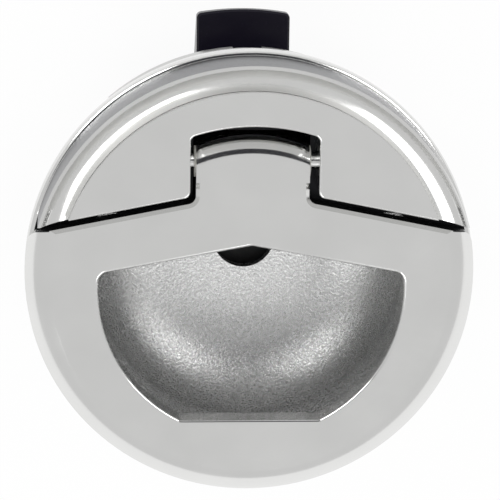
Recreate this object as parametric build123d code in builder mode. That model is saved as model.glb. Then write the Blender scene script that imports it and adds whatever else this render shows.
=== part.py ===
from build123d import *
import os
from math import cos, hypot, radians, sin, sqrt, tan

os.makedirs("parts", exist_ok=True)

# Frame: the flange's underside is z = 0, its middle is the origin, the bolt points along +Y,
# and +Z is the outward normal of the panel that the catch is set into.

# Face flange
flange_radius = 31.75
flange_thickness = 2.2
flange_edge_round = 0.8
flange_rear_chamfer = 0.3

# Threaded barrel behind the panel, drawn at the thread's outer diameter
barrel_radius = 25.0
barrel_length = 18.0
barrel_chamfer = 0.6
rear_recess_inset = 7.5
rear_recess_depth = 3.0

# Raised hood round the bolt side of the face
hood_inset = 0.75
hood_lip_height = 11.0
hood_lip_chamfer = 0.25
hood_lip_width = 0.2
hood_flat_height = 10.2
cove_width = 3.8
cove_foot_depth = 1.2
cove_sag = 0.45
hood_edge_apex_y = 14.35
chevron_angle = 11.2
hood_edge_round = 0.25

# Notch in the hood for the handle's tongue
notch_gap = 1.0
notch_end_y = 22.45
notch_end_radius = 27.7
notch_corner_round = 0.9
notch_mouth_round = 1.0

# Finger cup
cup_floor_depth = 13.0
cup_floor_radius = 12.0
cup_wall = 2.0
cup_wall_draft = 0.7
cup_end_y = 8.7
cup_end_knee_depth = 4.0
cup_end_slope = 8.0
cup_end_wall = 1.6
floor_hole_radius = 4.5
floor_hole_y = 1.7

# Hinge of the handle
hinge_y = 16.3
hinge_z = 3.1
pin_radius = 1.1
pin_half_length = 12.0
pin_chamfer = 0.25
pin_clearance = 0.04
saddle_clearance = 0.05
pocket_end_y = 20.55
pocket_side_gap = 0.3

# Pull handle
plate_inset = 0.1
plate_bevel_width = 3.55
plate_underside = 2.5
plate_top = 6.2
plate_rim_height = 0.5
plate_bevel_bulge = 0.3
shoulder_gap = 1.9
shoulder_chamfer = 0.5
shoulder_corner_round = 2.4
tongue_half_width = 7.9
tongue_root_round = 1.2
tongue_end_y = 20.15
tongue_end_radius = 21.5
tongue_end_round = 2.8
knuckle_reach = 2.5
knuckle_foot_round = 1.2
knuckle_toe_round = 0.8
handle_travel = 22.0

# Finger opening in the handle
opening_side_band = 6.65
opening_bottom_band = 7.6
opening_centre_y = -1.45
opening_apex_y = 4.8
opening_apex_slope = 10.7
opening_corner_round = 1.4
opening_foot_round = 1.0
opening_apex_round = 2.0
opening_edge_round = 0.4

# Room between the knuckles, for the lever and the handle's spring
slot_left = -5.0
slot_right = 2.45
slot_rear_reach = 2.6
slot_front_reach = 3.2
slot_radius = 2.15

# Flanged bushes in the knuckles
bush_radius = 1.55
bush_fit = 0.02
bush_flange_radius = 2.2
bush_flange_thickness = 0.22

# Release arm
arm_half_thickness = 2.2
arm_lean = 7.0
arm_tip_depth = 2.61
arm_half_width = 1.5
arm_tip_radius = 2.0
arm_hub_radius = 2.0
arm_heel_gap = 0.15
arm_heel_drop = 3.0

# Slam bolt
bolt_top_clearance = 0.1
bolt_height = 8.1
bolt_rear_clearance = 0.2
bolt_side_clearance = 0.15
nose_half_width = 6.8
nose_tip_radius = 34.2
nose_corner_round = 0.75
nose_land_y = 25.3
nose_land_drop = 0.2
nose_slope_angle = 39.0
nose_tip_height = 1.6
nose_edge_chamfer = 0.3
tail_half_width = 9.5
tail_rear_y = 4.0
stop_y = 20.5
tail_stop_gap = 0.15
window_half_width = 2.5
window_gap = 0.35
window_depth = 5.4

# Bolt springs
spring_x = 6.4
spring_wire_radius = 0.25
spring_coil_radius = 1.4
spring_pocket_radius = 1.85
spring_pocket_depth = 11.0
spring_seat_depth = 2.0
spring_turns = 8
spring_end_gap = 0.05

# Latch housing and its cover
housing_inset = 0.7
housing_roof = 1.3
channel_rear_gap = 3.37
side_pocket_inner_x = 11.5
side_pocket_inset = 2.3
side_pocket_half_length = 9.0
side_pocket_floor = 1.8
side_pocket_round = 1.5
arm_slot_half_width = 2.45
arm_slot_front_y = 8.6
arm_slot_rear_y = 20.95
post_inner_x = 8.55
post_half_width = 1.05
cover_thickness = 2.0
cover_chamfer = 0.5

# Screws through cover and housing
screw_inset = 4.12
screw_angle = 42.0
screw_radius = 1.5
screw_hole_radius = 1.65
screw_head_radius = 2.8
screw_head_clearance = 0.06
screw_head_angle = 90.0
screw_depth = 4.2
screw_tip_chamfer = 0.4
screw_socket_radius = 1.0
screw_socket_depth = 1.1
screw_end_gap = 0.1
thread_fit = 0.02

# Handle spring
handle_wire_radius = 0.3
handle_coil_radius = 1.55
handle_coil_right = -2.85
handle_coil_length = 1.5
handle_coil_turns = 2
leg_hole_radius = 0.36
leg_hole_depth = 1.0
leg_gap = 0.05
rear_leg_length = 3.0

# Rubber bumpers under the handle's rim
bumper_angle = 50.0
bumper_inset = 4.55
bumper_radius = 2.4
bumper_socket_depth = 0.6
bumper_gap = 0.05
bumper_fit = 0.05

# Gasket groove under the flange
groove_inset = 2.15
groove_width = 2.4
groove_depth = 1.2
gasket_fit = 0.05

# Thrust washer and ring nut on the barrel
clamp_depth = 5.0
washer_thickness = 1.0
washer_width = 5.5
washer_clearance = 0.3
nut_thickness = 5.5
nut_width = 5.2
nut_chamfer = 0.6
nut_notch_count = 8
nut_notch_radius = 2.2
nut_notch_offset = 0.6

# Distance under which two places count as the same
tolerance = 0.01

# Levels and places that follow from the sizes above
reach = 2 * flange_radius
hood_radius = flange_radius - hood_inset
hood_flat_radius = hood_radius - cove_width
plate_radius = flange_radius - plate_inset
plate_flat_radius = plate_radius - plate_bevel_width
opening_radius = plate_flat_radius - opening_side_band
opening_bottom_y = opening_bottom_band - plate_flat_radius
bumper_circle_radius = flange_radius - bumper_inset
groove_outer_radius = flange_radius - groove_inset
groove_inner_radius = groove_outer_radius - groove_width
cup_mouth_radius = barrel_radius - cup_wall
rear_recess_radius = barrel_radius - rear_recess_inset
housing_radius = barrel_radius - housing_inset
screw_x = (housing_radius - screw_inset) * cos(radians(screw_angle))
screw_y = (housing_radius - screw_inset) * sin(radians(screw_angle))
side_pocket_outer_radius = housing_radius - side_pocket_inset
washer_inner_radius = barrel_radius + washer_clearance
washer_outer_radius = washer_inner_radius + washer_width
nut_outer_radius = barrel_radius + nut_width
notch_half_width = tongue_half_width + notch_gap
knuckle_bottom = hinge_z - knuckle_reach
slot_end_y = hinge_y + slot_rear_reach
casting_rear_z = -barrel_length
channel_roof_z = casting_rear_z - housing_roof
bolt_top_z = channel_roof_z - bolt_top_clearance
bolt_bottom_z = bolt_top_z - bolt_height
housing_rear_z = bolt_bottom_z - bolt_rear_clearance
cover_rear_z = housing_rear_z - cover_thickness
shoulder_apex_y = hood_edge_apex_y - shoulder_gap
pocket_half_width = tongue_half_width + pocket_side_gap
cup_end_foot_y = cup_end_y - tan(radians(cup_end_slope)) * (cup_floor_depth - cup_end_knee_depth)
pocket_knee_y = cup_end_y + cup_end_wall
pocket_foot_y = pocket_knee_y - tan(radians(cup_end_slope)) * (barrel_length - cup_end_knee_depth)
arm_tip_z = bolt_top_z - arm_tip_depth
arm_length = (hinge_z - arm_tip_z) / cos(radians(arm_lean))
arm_tip_y = hinge_y + arm_length * sin(radians(arm_lean))
arm_swing_end = radians(handle_travel - arm_lean)
bolt_travel = arm_length * (sin(arm_swing_end) + sin(radians(arm_lean)))
channel_rear_y = tail_rear_y - bolt_travel - channel_rear_gap
window_front_y = arm_tip_y + arm_tip_radius + window_gap
window_rear_y = arm_tip_y - arm_tip_radius - window_gap
spring_z = (bolt_top_z + bolt_bottom_z) / 2


def edge_y(apex_y, x):
    """Place of a chevron edge at the distance x from the middle line."""
    return apex_y - tan(radians(chevron_angle)) * abs(x)


def arc_end_y(tip_y, radius, x):
    """Place of an arched end, whose middle is at tip_y, at the distance x from the middle line."""
    return tip_y - radius + sqrt(radius**2 - x**2)


def bowed_middle(start, end, bow):
    """Middle of an arc from start to end that bows out by the distance bow, to the left of its chord."""
    chord = Vector(*end) - Vector(*start)
    return (Vector(*start) + Vector(*end)) / 2 + chord.rotate(Axis.Z, 90).normalized() * bow


# Hood, turned with its lip and cove, then cut to the chevron and the notch
cove_top = (hood_radius - hood_lip_chamfer - hood_lip_width, hood_lip_height)
cove_foot = (hood_flat_radius, hood_flat_height - cove_foot_depth)
with BuildPart() as hood:
    with BuildSketch(Plane.XZ):
        with BuildLine():
            Polyline(
                cove_foot,
                (hood_flat_radius, hood_flat_height),
                (0, hood_flat_height),
                (0, flange_thickness / 2),
                (hood_radius, flange_thickness / 2),
                (hood_radius, hood_lip_height - hood_lip_chamfer),
                (hood_radius - hood_lip_chamfer, hood_lip_height),
                cove_top,
            )
            ThreePointArc(cove_top, bowed_middle(cove_top, cove_foot, cove_sag), cove_foot)
        make_face()
    revolve(axis=Axis.Z)
    with BuildSketch(Plane.XY) as hood_plan:
        with BuildLine():
            notch_side_y = arc_end_y(notch_end_y, notch_end_radius, notch_half_width)
            notch_mouth_y = edge_y(hood_edge_apex_y, notch_half_width)
            Polyline(
                (notch_half_width, notch_side_y),
                (notch_half_width, notch_mouth_y),
                (reach, edge_y(hood_edge_apex_y, reach)),
                (reach, reach),
                (-reach, reach),
                (-reach, edge_y(hood_edge_apex_y, reach)),
                (-notch_half_width, notch_mouth_y),
                (-notch_half_width, notch_side_y),
            )
            ThreePointArc(
                (-notch_half_width, notch_side_y),
                (0, notch_end_y),
                (notch_half_width, notch_side_y),
            )
        make_face()
        notch_corners = hood_plan.vertices().filter_by(
            lambda v: abs(abs(v.X) - notch_half_width) < tolerance and v.Y > hinge_y
        )
        fillet(notch_corners, notch_corner_round)
        notch_mouths = hood_plan.vertices().filter_by(
            lambda v: abs(abs(v.X) - notch_half_width) < tolerance and v.Y < hinge_y
        )
        fillet(notch_mouths, notch_mouth_round)
    extrude(amount=reach, mode=Mode.INTERSECT)
    flat_edges = hood.edges().filter_by(
        lambda e: abs(e.center().Z - hood_flat_height) < tolerance
        and hypot(e.center().X, e.center().Y) < hood_flat_radius - tolerance
    )
    fillet(flat_edges, hood_edge_round)

# Hollow of the finger cup, a turned bowl cut off by the sloping end wall
bowl_wall_radius = cup_mouth_radius - cup_wall_draft
cup_wall_foot_radius = bowl_wall_radius - cup_floor_radius
wall_foot_height = cup_wall_foot_radius - cup_floor_depth
with BuildPart() as cup_hollow:
    with BuildSketch(Plane.XZ):
        with BuildLine():
            Polyline((0, plate_top), (0, -cup_floor_depth), (cup_floor_radius, -cup_floor_depth))
            CenterArc(
                (cup_floor_radius, wall_foot_height), cup_wall_foot_radius, -90, 90
            )
            Polyline(
                (bowl_wall_radius, wall_foot_height),
                (cup_mouth_radius, flange_thickness),
                (cup_mouth_radius, plate_top),
                (0, plate_top),
            )
        make_face()
    revolve(axis=Axis.Z)
    with BuildSketch(Plane.YZ):
        with BuildLine():
            Polyline(
                (-reach, plate_top),
                (-reach, -cup_floor_depth),
                (cup_end_foot_y, -cup_floor_depth),
                (cup_end_y, -cup_end_knee_depth),
                (cup_end_y, plate_top),
                (-reach, plate_top),
            )
        make_face()
    extrude(amount=reach, both=True, mode=Mode.INTERSECT)

# Bezel: flange, hood, cup and barrel in one casting
with BuildPart() as bezel_body:
    with BuildSketch():
        Circle(flange_radius)
    extrude(amount=flange_thickness)
    fillet(bezel_body.edges().group_by(Axis.Z)[-1], flange_edge_round)
    chamfer(bezel_body.edges().group_by(Axis.Z)[0], flange_rear_chamfer)
    with BuildSketch(Plane.XY.offset(casting_rear_z)):
        Circle(barrel_radius)
    extrude(amount=barrel_length)
    chamfer(bezel_body.edges().group_by(Axis.Z)[0], barrel_chamfer)
    add(hood.part)
    add(cup_hollow.part, mode=Mode.SUBTRACT)
    # Hinge pocket under the tongue, with a sloping wall that follows the lever
    with BuildSketch(Plane.YZ):
        with BuildLine():
            Polyline(
                (pocket_knee_y, plate_top),
                (pocket_knee_y, -cup_end_knee_depth),
                (pocket_foot_y, casting_rear_z),
                (pocket_end_y, casting_rear_z),
                (pocket_end_y, plate_top),
                (pocket_knee_y, plate_top),
            )
        make_face()
    extrude(amount=pocket_half_width, both=True, mode=Mode.SUBTRACT)
    # Saddles for the hinge pin, open to the rear
    with BuildSketch(Plane.YZ):
        with Locations((hinge_y, hinge_z)):
            Circle(pin_radius + saddle_clearance)
        with Locations((hinge_y, (hinge_z + casting_rear_z) / 2)):
            Rectangle(2 * (pin_radius + saddle_clearance), hinge_z - casting_rear_z)
    extrude(amount=pin_half_length + saddle_clearance, both=True, mode=Mode.SUBTRACT)
    # Hole for the handle spring's leg
    with BuildSketch(Plane.XZ.offset(-pocket_knee_y)):
        with Locations((handle_coil_right, hinge_z - handle_coil_radius)):
            Circle(leg_hole_radius)
    extrude(amount=leg_hole_depth, mode=Mode.SUBTRACT)
    # Recess behind the cup's floor
    with BuildSketch(Plane.XY.offset(casting_rear_z)):
        Circle(rear_recess_radius)
    extrude(amount=rear_recess_depth, mode=Mode.SUBTRACT)
    # Hole in the cup's floor
    with BuildSketch(Plane.XY.offset(casting_rear_z)):
        with Locations((0, floor_hole_y)):
            Circle(floor_hole_radius)
    extrude(amount=barrel_length, mode=Mode.SUBTRACT)
    # Tapped holes for the cover's screws
    with BuildSketch(Plane.XY.offset(casting_rear_z)):
        with GridLocations(2 * screw_x, 2 * screw_y, 2, 2):
            Circle(screw_radius + thread_fit)
    extrude(amount=screw_depth, mode=Mode.SUBTRACT)
    # Gasket groove
    with BuildSketch():
        Circle(groove_outer_radius)
        Circle(groove_inner_radius, mode=Mode.SUBTRACT)
    extrude(amount=groove_depth, mode=Mode.SUBTRACT)
    # Sockets for the bumpers
    with BuildSketch(Plane.XY.offset(flange_thickness)):
        bumper_spread = 180 - 2 * bumper_angle
        with PolarLocations(bumper_circle_radius, 2, bumper_angle - 180, bumper_spread, endpoint=True):
            Circle(bumper_radius + bumper_fit)
    extrude(amount=-bumper_socket_depth, mode=Mode.SUBTRACT)
bezel_body.part.label = "bezel_body"
export_step(bezel_body.part, "parts/bezel_body.step")

# Pull handle: bevelled plate with its finger opening, and a tongue that ends in the knuckle block
bevel_foot_height = plate_underside + plate_rim_height
bevel_foot = (plate_radius, bevel_foot_height)
bevel_top = (plate_flat_radius, plate_top)
shoulder_root_y = edge_y(shoulder_apex_y, tongue_half_width)
tongue_plan_end_y = hinge_y - knuckle_reach + knuckle_foot_round
tongue_side_y = arc_end_y(tongue_end_y, tongue_end_radius, tongue_half_width)
opening_chord = sqrt(opening_radius**2 - (opening_bottom_y - opening_centre_y) ** 2)
opening_slope = tan(radians(opening_apex_slope))
apex_rise = opening_apex_y - opening_centre_y
opening_corner_x = (
    opening_slope * apex_rise
    + sqrt(opening_radius**2 * (1 + opening_slope**2) - apex_rise**2)
) / (1 + opening_slope**2)
opening_corner_y = opening_apex_y - opening_slope * opening_corner_x
with BuildPart() as knuckle_block:
    with BuildSketch(Plane.XY.offset(knuckle_bottom)):
        with BuildLine():
            Polyline(
                (-tongue_half_width, tongue_side_y),
                (-tongue_half_width, hinge_y - knuckle_reach),
                (tongue_half_width, hinge_y - knuckle_reach),
                (tongue_half_width, tongue_side_y),
            )
            ThreePointArc(
                (tongue_half_width, tongue_side_y), (0, tongue_end_y), (-tongue_half_width, tongue_side_y)
            )
        make_face()
    extrude(amount=plate_top - knuckle_bottom)
    fillet(knuckle_block.edges().group_by(Axis.Z)[-1].sort_by(Axis.Y)[-1], tongue_end_round)
    fillet(knuckle_block.edges().group_by(Axis.Z)[0].sort_by(Axis.Y)[-1], knuckle_toe_round)
    fillet(knuckle_block.edges().group_by(Axis.Z)[0].sort_by(Axis.Y)[0], knuckle_foot_round)
with BuildPart() as pull_handle:
    with BuildSketch(Plane.XZ):
        with BuildLine():
            Polyline(
                (0, plate_top),
                (0, plate_underside),
                (plate_radius, plate_underside),
                bevel_foot,
            )
            ThreePointArc(bevel_foot, bowed_middle(bevel_foot, bevel_top, -plate_bevel_bulge), bevel_top)
            Line(bevel_top, (0, plate_top))
        make_face()
    revolve(axis=Axis.Z)
    with BuildSketch() as plate_plan:
        with BuildLine():
            Polyline(
                (tongue_half_width, tongue_plan_end_y),
                (tongue_half_width, shoulder_root_y),
                (reach, edge_y(shoulder_apex_y, reach)),
                (reach, -reach),
                (-reach, -reach),
                (-reach, edge_y(shoulder_apex_y, reach)),
                (-tongue_half_width, shoulder_root_y),
                (-tongue_half_width, tongue_plan_end_y),
                (tongue_half_width, tongue_plan_end_y),
            )
        make_face()
        fillet(
            plate_plan.vertices().filter_by(
                lambda v: abs(abs(v.X) - tongue_half_width) < tolerance and v.Y < shoulder_apex_y
            ),
            tongue_root_round,
        )
    extrude(amount=reach, mode=Mode.INTERSECT)
    outer_corners = pull_handle.edges().filter_by(Axis.Z).filter_by(
        lambda e: abs(e.center().X) > plate_flat_radius
    )
    fillet(outer_corners, shoulder_corner_round)
    shoulder_edges = pull_handle.edges().group_by(Axis.Z)[-1].filter_by(GeomType.LINE).filter_by(
        lambda e: abs(e.center().X) > tongue_half_width + tongue_root_round
    )
    chamfer(shoulder_edges, shoulder_chamfer)
    add(knuckle_block.part)
    # Room for the lever and the handle's spring
    with BuildSketch(Plane.YZ.offset(slot_left)):
        with Locations((hinge_y, hinge_z)):
            Circle(slot_radius)
            Rectangle(slot_rear_reach, knuckle_reach, align=(Align.MIN, Align.MAX))
            Rectangle(slot_front_reach, knuckle_reach, align=(Align.MAX, Align.MAX))
    extrude(amount=slot_right - slot_left, mode=Mode.SUBTRACT)
    # Hole for the rear leg of the spring
    with BuildSketch(Plane.XZ.offset(-slot_end_y)):
        with Locations((handle_coil_right - handle_coil_length, hinge_z - handle_coil_radius)):
            Circle(leg_hole_radius)
    extrude(amount=slot_rear_reach - tongue_end_y, mode=Mode.SUBTRACT)
    # Bores for the bushes
    with BuildSketch(Plane.YZ):
        with Locations((hinge_y, hinge_z)):
            Circle(bush_radius + bush_fit)
    extrude(amount=tongue_half_width, both=True, mode=Mode.SUBTRACT)
    # Finger opening
    with BuildSketch(Plane.XY.offset(plate_underside)) as opening_plan:
        with BuildLine():
            Polyline(
                (-opening_corner_x, opening_corner_y),
                (0, opening_apex_y),
                (opening_corner_x, opening_corner_y),
            )
            RadiusArc(
                (opening_corner_x, opening_corner_y), (opening_chord, opening_bottom_y), opening_radius
            )
            Line((opening_chord, opening_bottom_y), (-opening_chord, opening_bottom_y))
            RadiusArc(
                (-opening_chord, opening_bottom_y), (-opening_corner_x, opening_corner_y), opening_radius
            )
        make_face()
        fillet(opening_plan.vertices().group_by(Axis.Y)[0], opening_foot_round)
        fillet(opening_plan.vertices().group_by(Axis.X)[0], opening_corner_round)
        fillet(opening_plan.vertices().group_by(Axis.X)[-1], opening_corner_round)
        fillet(opening_plan.vertices().filter_by(lambda v: abs(v.X) < tolerance), opening_apex_round)
    extrude(amount=plate_top - plate_underside, mode=Mode.SUBTRACT)
    opening_rim = pull_handle.edges().group_by(Axis.Z)[-1].filter_by(
        lambda e: e.center().Y < opening_apex_y and hypot(e.center().X, e.center().Y) < cup_mouth_radius
    )
    fillet(opening_rim, opening_edge_round)
pull_handle.part.label = "pull_handle"
export_step(pull_handle.part, "parts/pull_handle.step")

# Release arm: lever on the hinge pin, leaning forward at rest
lean = radians(arm_lean)
side_step = (arm_half_width * cos(lean), arm_half_width * sin(lean))
with BuildPart() as release_arm:
    with BuildSketch(Plane.YZ):
        with Locations((hinge_y, hinge_z)):
            Circle(arm_hub_radius)
        with BuildLine():
            Polyline(
                (hinge_y - arm_hub_radius, hinge_z),
                (slot_end_y - arm_heel_gap, hinge_z),
                (slot_end_y - arm_heel_gap, hinge_z - arm_heel_drop),
                (arm_tip_y + side_step[0], arm_tip_z + side_step[1]),
                (arm_tip_y - side_step[0], arm_tip_z - side_step[1]),
                (hinge_y - arm_hub_radius, hinge_z - arm_heel_drop),
                (hinge_y - arm_hub_radius, hinge_z),
            )
        make_face()
        with Locations((arm_tip_y, arm_tip_z)):
            Circle(arm_tip_radius)
        with Locations((hinge_y, hinge_z)):
            Circle(pin_radius + pin_clearance, mode=Mode.SUBTRACT)
    extrude(amount=arm_half_thickness, both=True)
release_arm.part.label = "release_arm"
export_step(release_arm.part, "parts/release_arm.step")

# Hinge pin
with BuildPart() as hinge_pin:
    with BuildSketch(Plane.YZ):
        with Locations((hinge_y, hinge_z)):
            Circle(pin_radius)
    extrude(amount=pin_half_length, both=True)
    chamfer(hinge_pin.edges().filter_by(GeomType.CIRCLE), pin_chamfer)
hinge_pin.part.label = "hinge_pin"
export_step(hinge_pin.part, "parts/hinge_pin.step")

# Flanged bushes, one in each knuckle
for side, knuckle_inner_x in (("left", slot_left), ("right", slot_right)):
    outward = -1 if side == "left" else 1
    with BuildPart() as hinge_bush:
        with BuildSketch(Plane.YZ.offset(knuckle_inner_x)):
            with Locations((hinge_y, hinge_z)):
                Circle(bush_radius)
                Circle(pin_radius + pin_clearance, mode=Mode.SUBTRACT)
        extrude(amount=outward * (tongue_half_width - abs(knuckle_inner_x)))
        with BuildSketch(Plane.YZ.offset(outward * tongue_half_width)):
            with Locations((hinge_y, hinge_z)):
                Circle(bush_flange_radius)
                Circle(pin_radius + pin_clearance, mode=Mode.SUBTRACT)
        extrude(amount=outward * bush_flange_thickness)
    hinge_bush.part.label = f"hinge_bush_{side}"
    export_step(hinge_bush.part, f"parts/hinge_bush_{side}.step")

# Handle spring: a coil round the pin, one leg held in the casting's wall and one in the tongue's end
with BuildPart() as handle_spring:
    with BuildLine():
        coil_path = Helix(
            pitch=handle_coil_length / handle_coil_turns,
            height=handle_coil_length,
            radius=handle_coil_radius,
            center=(handle_coil_right, hinge_y, hinge_z),
            direction=(-1, 0, 0),
            lefthand=True,
        )
    with BuildSketch(Plane(origin=coil_path @ 0, z_dir=coil_path % 0)):
        RegularPolygon(handle_wire_radius, 6)
    sweep(path=coil_path, is_frenet=True)
    with BuildSketch(Plane(origin=coil_path @ 0, z_dir=(0, -1, 0))):
        Circle(handle_wire_radius)
    extrude(amount=hinge_y - pocket_knee_y + leg_hole_depth - leg_gap)
    with BuildSketch(Plane(origin=coil_path @ 1, z_dir=(0, 1, 0))):
        Circle(handle_wire_radius)
    extrude(amount=rear_leg_length)
handle_spring.part.label = "handle_spring"
export_step(handle_spring.part, "parts/handle_spring.step")

# Slam bolt: nose, wider tail, window for the lever and pockets for the springs
slope_run = (bolt_height - nose_tip_height) / tan(radians(nose_slope_angle))
with BuildPart() as slam_bolt:
    with BuildSketch(Plane.XY.offset(bolt_bottom_z)) as bolt_plan:
        with BuildLine():
            tip_side_y = sqrt(nose_tip_radius**2 - nose_half_width**2)
            Polyline(
                (nose_half_width, tip_side_y),
                (nose_half_width, stop_y - tail_stop_gap),
                (tail_half_width, stop_y - tail_stop_gap),
                (tail_half_width, tail_rear_y),
                (-tail_half_width, tail_rear_y),
                (-tail_half_width, stop_y - tail_stop_gap),
                (-nose_half_width, stop_y - tail_stop_gap),
                (-nose_half_width, tip_side_y),
            )
            ThreePointArc(
                (-nose_half_width, tip_side_y), (0, nose_tip_radius), (nose_half_width, tip_side_y)
            )
        make_face()
        fillet(bolt_plan.vertices().filter_by(lambda v: v.Y > nose_land_y), nose_corner_round)
    extrude(amount=bolt_height)
    # Slope on the rear side of the nose, which lets the bolt ride over the strike
    with BuildSketch(Plane.YZ):
        with BuildLine():
            Polyline(
                (nose_tip_radius, bolt_top_z - nose_tip_height),
                (nose_tip_radius - slope_run, bolt_bottom_z),
                (nose_tip_radius + slope_run, bolt_bottom_z),
                (nose_tip_radius + slope_run, bolt_top_z - nose_tip_height),
                (nose_tip_radius, bolt_top_z - nose_tip_height),
            )
        make_face()
    extrude(amount=tail_half_width, both=True, mode=Mode.SUBTRACT)
    # Land that bears on the strike, a little below the tail's sliding face
    with BuildSketch(Plane.XY.offset(bolt_top_z)):
        with Locations((0, nose_land_y)):
            Rectangle(2 * tail_half_width, nose_tip_radius, align=(Align.CENTER, Align.MIN))
    extrude(amount=-nose_land_drop, mode=Mode.SUBTRACT)
    land_rim = slam_bolt.faces().filter_by(Plane.XY).sort_by(Axis.Y)[-1].edges().filter_by(
        lambda e: e.center().Y > nose_land_y + tolerance
    )
    chamfer(land_rim, nose_edge_chamfer)
    # Window for the lever's tip
    with BuildSketch(Plane.XY.offset(bolt_top_z)):
        with Locations((0, (window_front_y + window_rear_y) / 2)):
            Rectangle(2 * window_half_width, window_front_y - window_rear_y)
    extrude(amount=-window_depth, mode=Mode.SUBTRACT)
    # Pockets for the springs
    with BuildSketch(Plane.XZ.offset(-tail_rear_y)):
        with Locations((-spring_x, spring_z), (spring_x, spring_z)):
            Circle(spring_pocket_radius)
    extrude(amount=-spring_pocket_depth, mode=Mode.SUBTRACT)
slam_bolt.part.label = "slam_bolt"
export_step(slam_bolt.part, "parts/slam_bolt.step")

# Bolt springs, from the housing's seats to the bottom of the bolt's pockets
spring_rear_y = channel_rear_y - spring_seat_depth + spring_end_gap + spring_wire_radius
spring_front_y = tail_rear_y + spring_pocket_depth - spring_end_gap - spring_wire_radius
for side, place_x in (("left", -spring_x), ("right", spring_x)):
    with BuildPart() as bolt_spring:
        with BuildLine():
            spring_path = Helix(
                pitch=(spring_front_y - spring_rear_y) / spring_turns,
                height=spring_front_y - spring_rear_y,
                radius=spring_coil_radius,
                center=(place_x, spring_rear_y, spring_z),
                direction=(0, 1, 0),
            )
        with BuildSketch(Plane(origin=spring_path @ 0, z_dir=spring_path % 0)):
            RegularPolygon(spring_wire_radius, 6)
        sweep(path=spring_path, is_frenet=True)
    bolt_spring.part.label = f"bolt_spring_{side}"
    export_step(bolt_spring.part, f"parts/bolt_spring_{side}.step")

# Latch housing: round block with the bolt's channel, closed by the cover
channel_depth = channel_roof_z - housing_rear_z
with BuildPart() as latch_housing:
    with BuildSketch(Plane.XY.offset(casting_rear_z)):
        Circle(housing_radius)
    extrude(amount=housing_rear_z - casting_rear_z)
    # Posts that hold the hinge pin in its saddles
    with BuildSketch(Plane.XY.offset(casting_rear_z)):
        with Locations(
            (-(post_inner_x + pin_half_length) / 2, hinge_y),
            ((post_inner_x + pin_half_length) / 2, hinge_y),
        ):
            Rectangle(pin_half_length - post_inner_x, 2 * post_half_width)
    extrude(amount=hinge_z - pin_radius - saddle_clearance - casting_rear_z)
    # Channel for the tail, and its mouth
    with BuildSketch(Plane.XY.offset(housing_rear_z)):
        with Locations((0, channel_rear_y)):
            Rectangle(
                2 * (tail_half_width + bolt_side_clearance),
                stop_y - channel_rear_y,
                align=(Align.CENTER, Align.MIN),
            )
        with Locations((0, stop_y)):
            Rectangle(
                2 * (nose_half_width + bolt_side_clearance),
                housing_radius,
                align=(Align.CENTER, Align.MIN),
            )
    extrude(amount=channel_depth, mode=Mode.SUBTRACT)
    # Slot for the lever
    with BuildSketch(Plane.XY.offset(channel_roof_z)):
        with Locations((0, arm_slot_front_y)):
            Rectangle(
                2 * arm_slot_half_width,
                arm_slot_rear_y - arm_slot_front_y,
                align=(Align.CENTER, Align.MIN),
            )
    extrude(amount=housing_roof, mode=Mode.SUBTRACT)
    # Seats for the springs
    with BuildSketch(Plane.XZ.offset(-channel_rear_y)):
        with Locations((-spring_x, spring_z), (spring_x, spring_z)):
            Circle(spring_pocket_radius)
    extrude(amount=spring_seat_depth, mode=Mode.SUBTRACT)
    # Cored pockets at the sides
    with BuildSketch(Plane.XY.offset(housing_rear_z)) as side_pockets:
        Circle(side_pocket_outer_radius)
        Rectangle(reach, 2 * side_pocket_half_length, mode=Mode.INTERSECT)
        Rectangle(2 * side_pocket_inner_x, reach, mode=Mode.SUBTRACT)
        fillet(side_pockets.vertices(), side_pocket_round)
    extrude(amount=casting_rear_z - side_pocket_floor - housing_rear_z, mode=Mode.SUBTRACT)
    # Clearance holes for the screws
    with BuildSketch(Plane.XY.offset(housing_rear_z)):
        with GridLocations(2 * screw_x, 2 * screw_y, 2, 2):
            Circle(screw_hole_radius)
    extrude(amount=casting_rear_z - housing_rear_z, mode=Mode.SUBTRACT)
latch_housing.part.label = "latch_housing"
export_step(latch_housing.part, "parts/latch_housing.step")

# Cover over the rear of the housing
with BuildPart() as housing_cover:
    with BuildSketch(Plane.XY.offset(housing_rear_z)):
        Circle(housing_radius)
    extrude(amount=-cover_thickness)
    chamfer(housing_cover.edges().group_by(Axis.Z)[0], cover_chamfer)
    with Locations(Plane(origin=(0, 0, cover_rear_z), z_dir=(0, 0, -1))):
        with GridLocations(2 * screw_x, 2 * screw_y, 2, 2):
            CounterSinkHole(
                screw_hole_radius,
                screw_head_radius + screw_head_clearance,
                counter_sink_angle=screw_head_angle,
            )
housing_cover.part.label = "housing_cover"
export_step(housing_cover.part, "parts/housing_cover.step")

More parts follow.
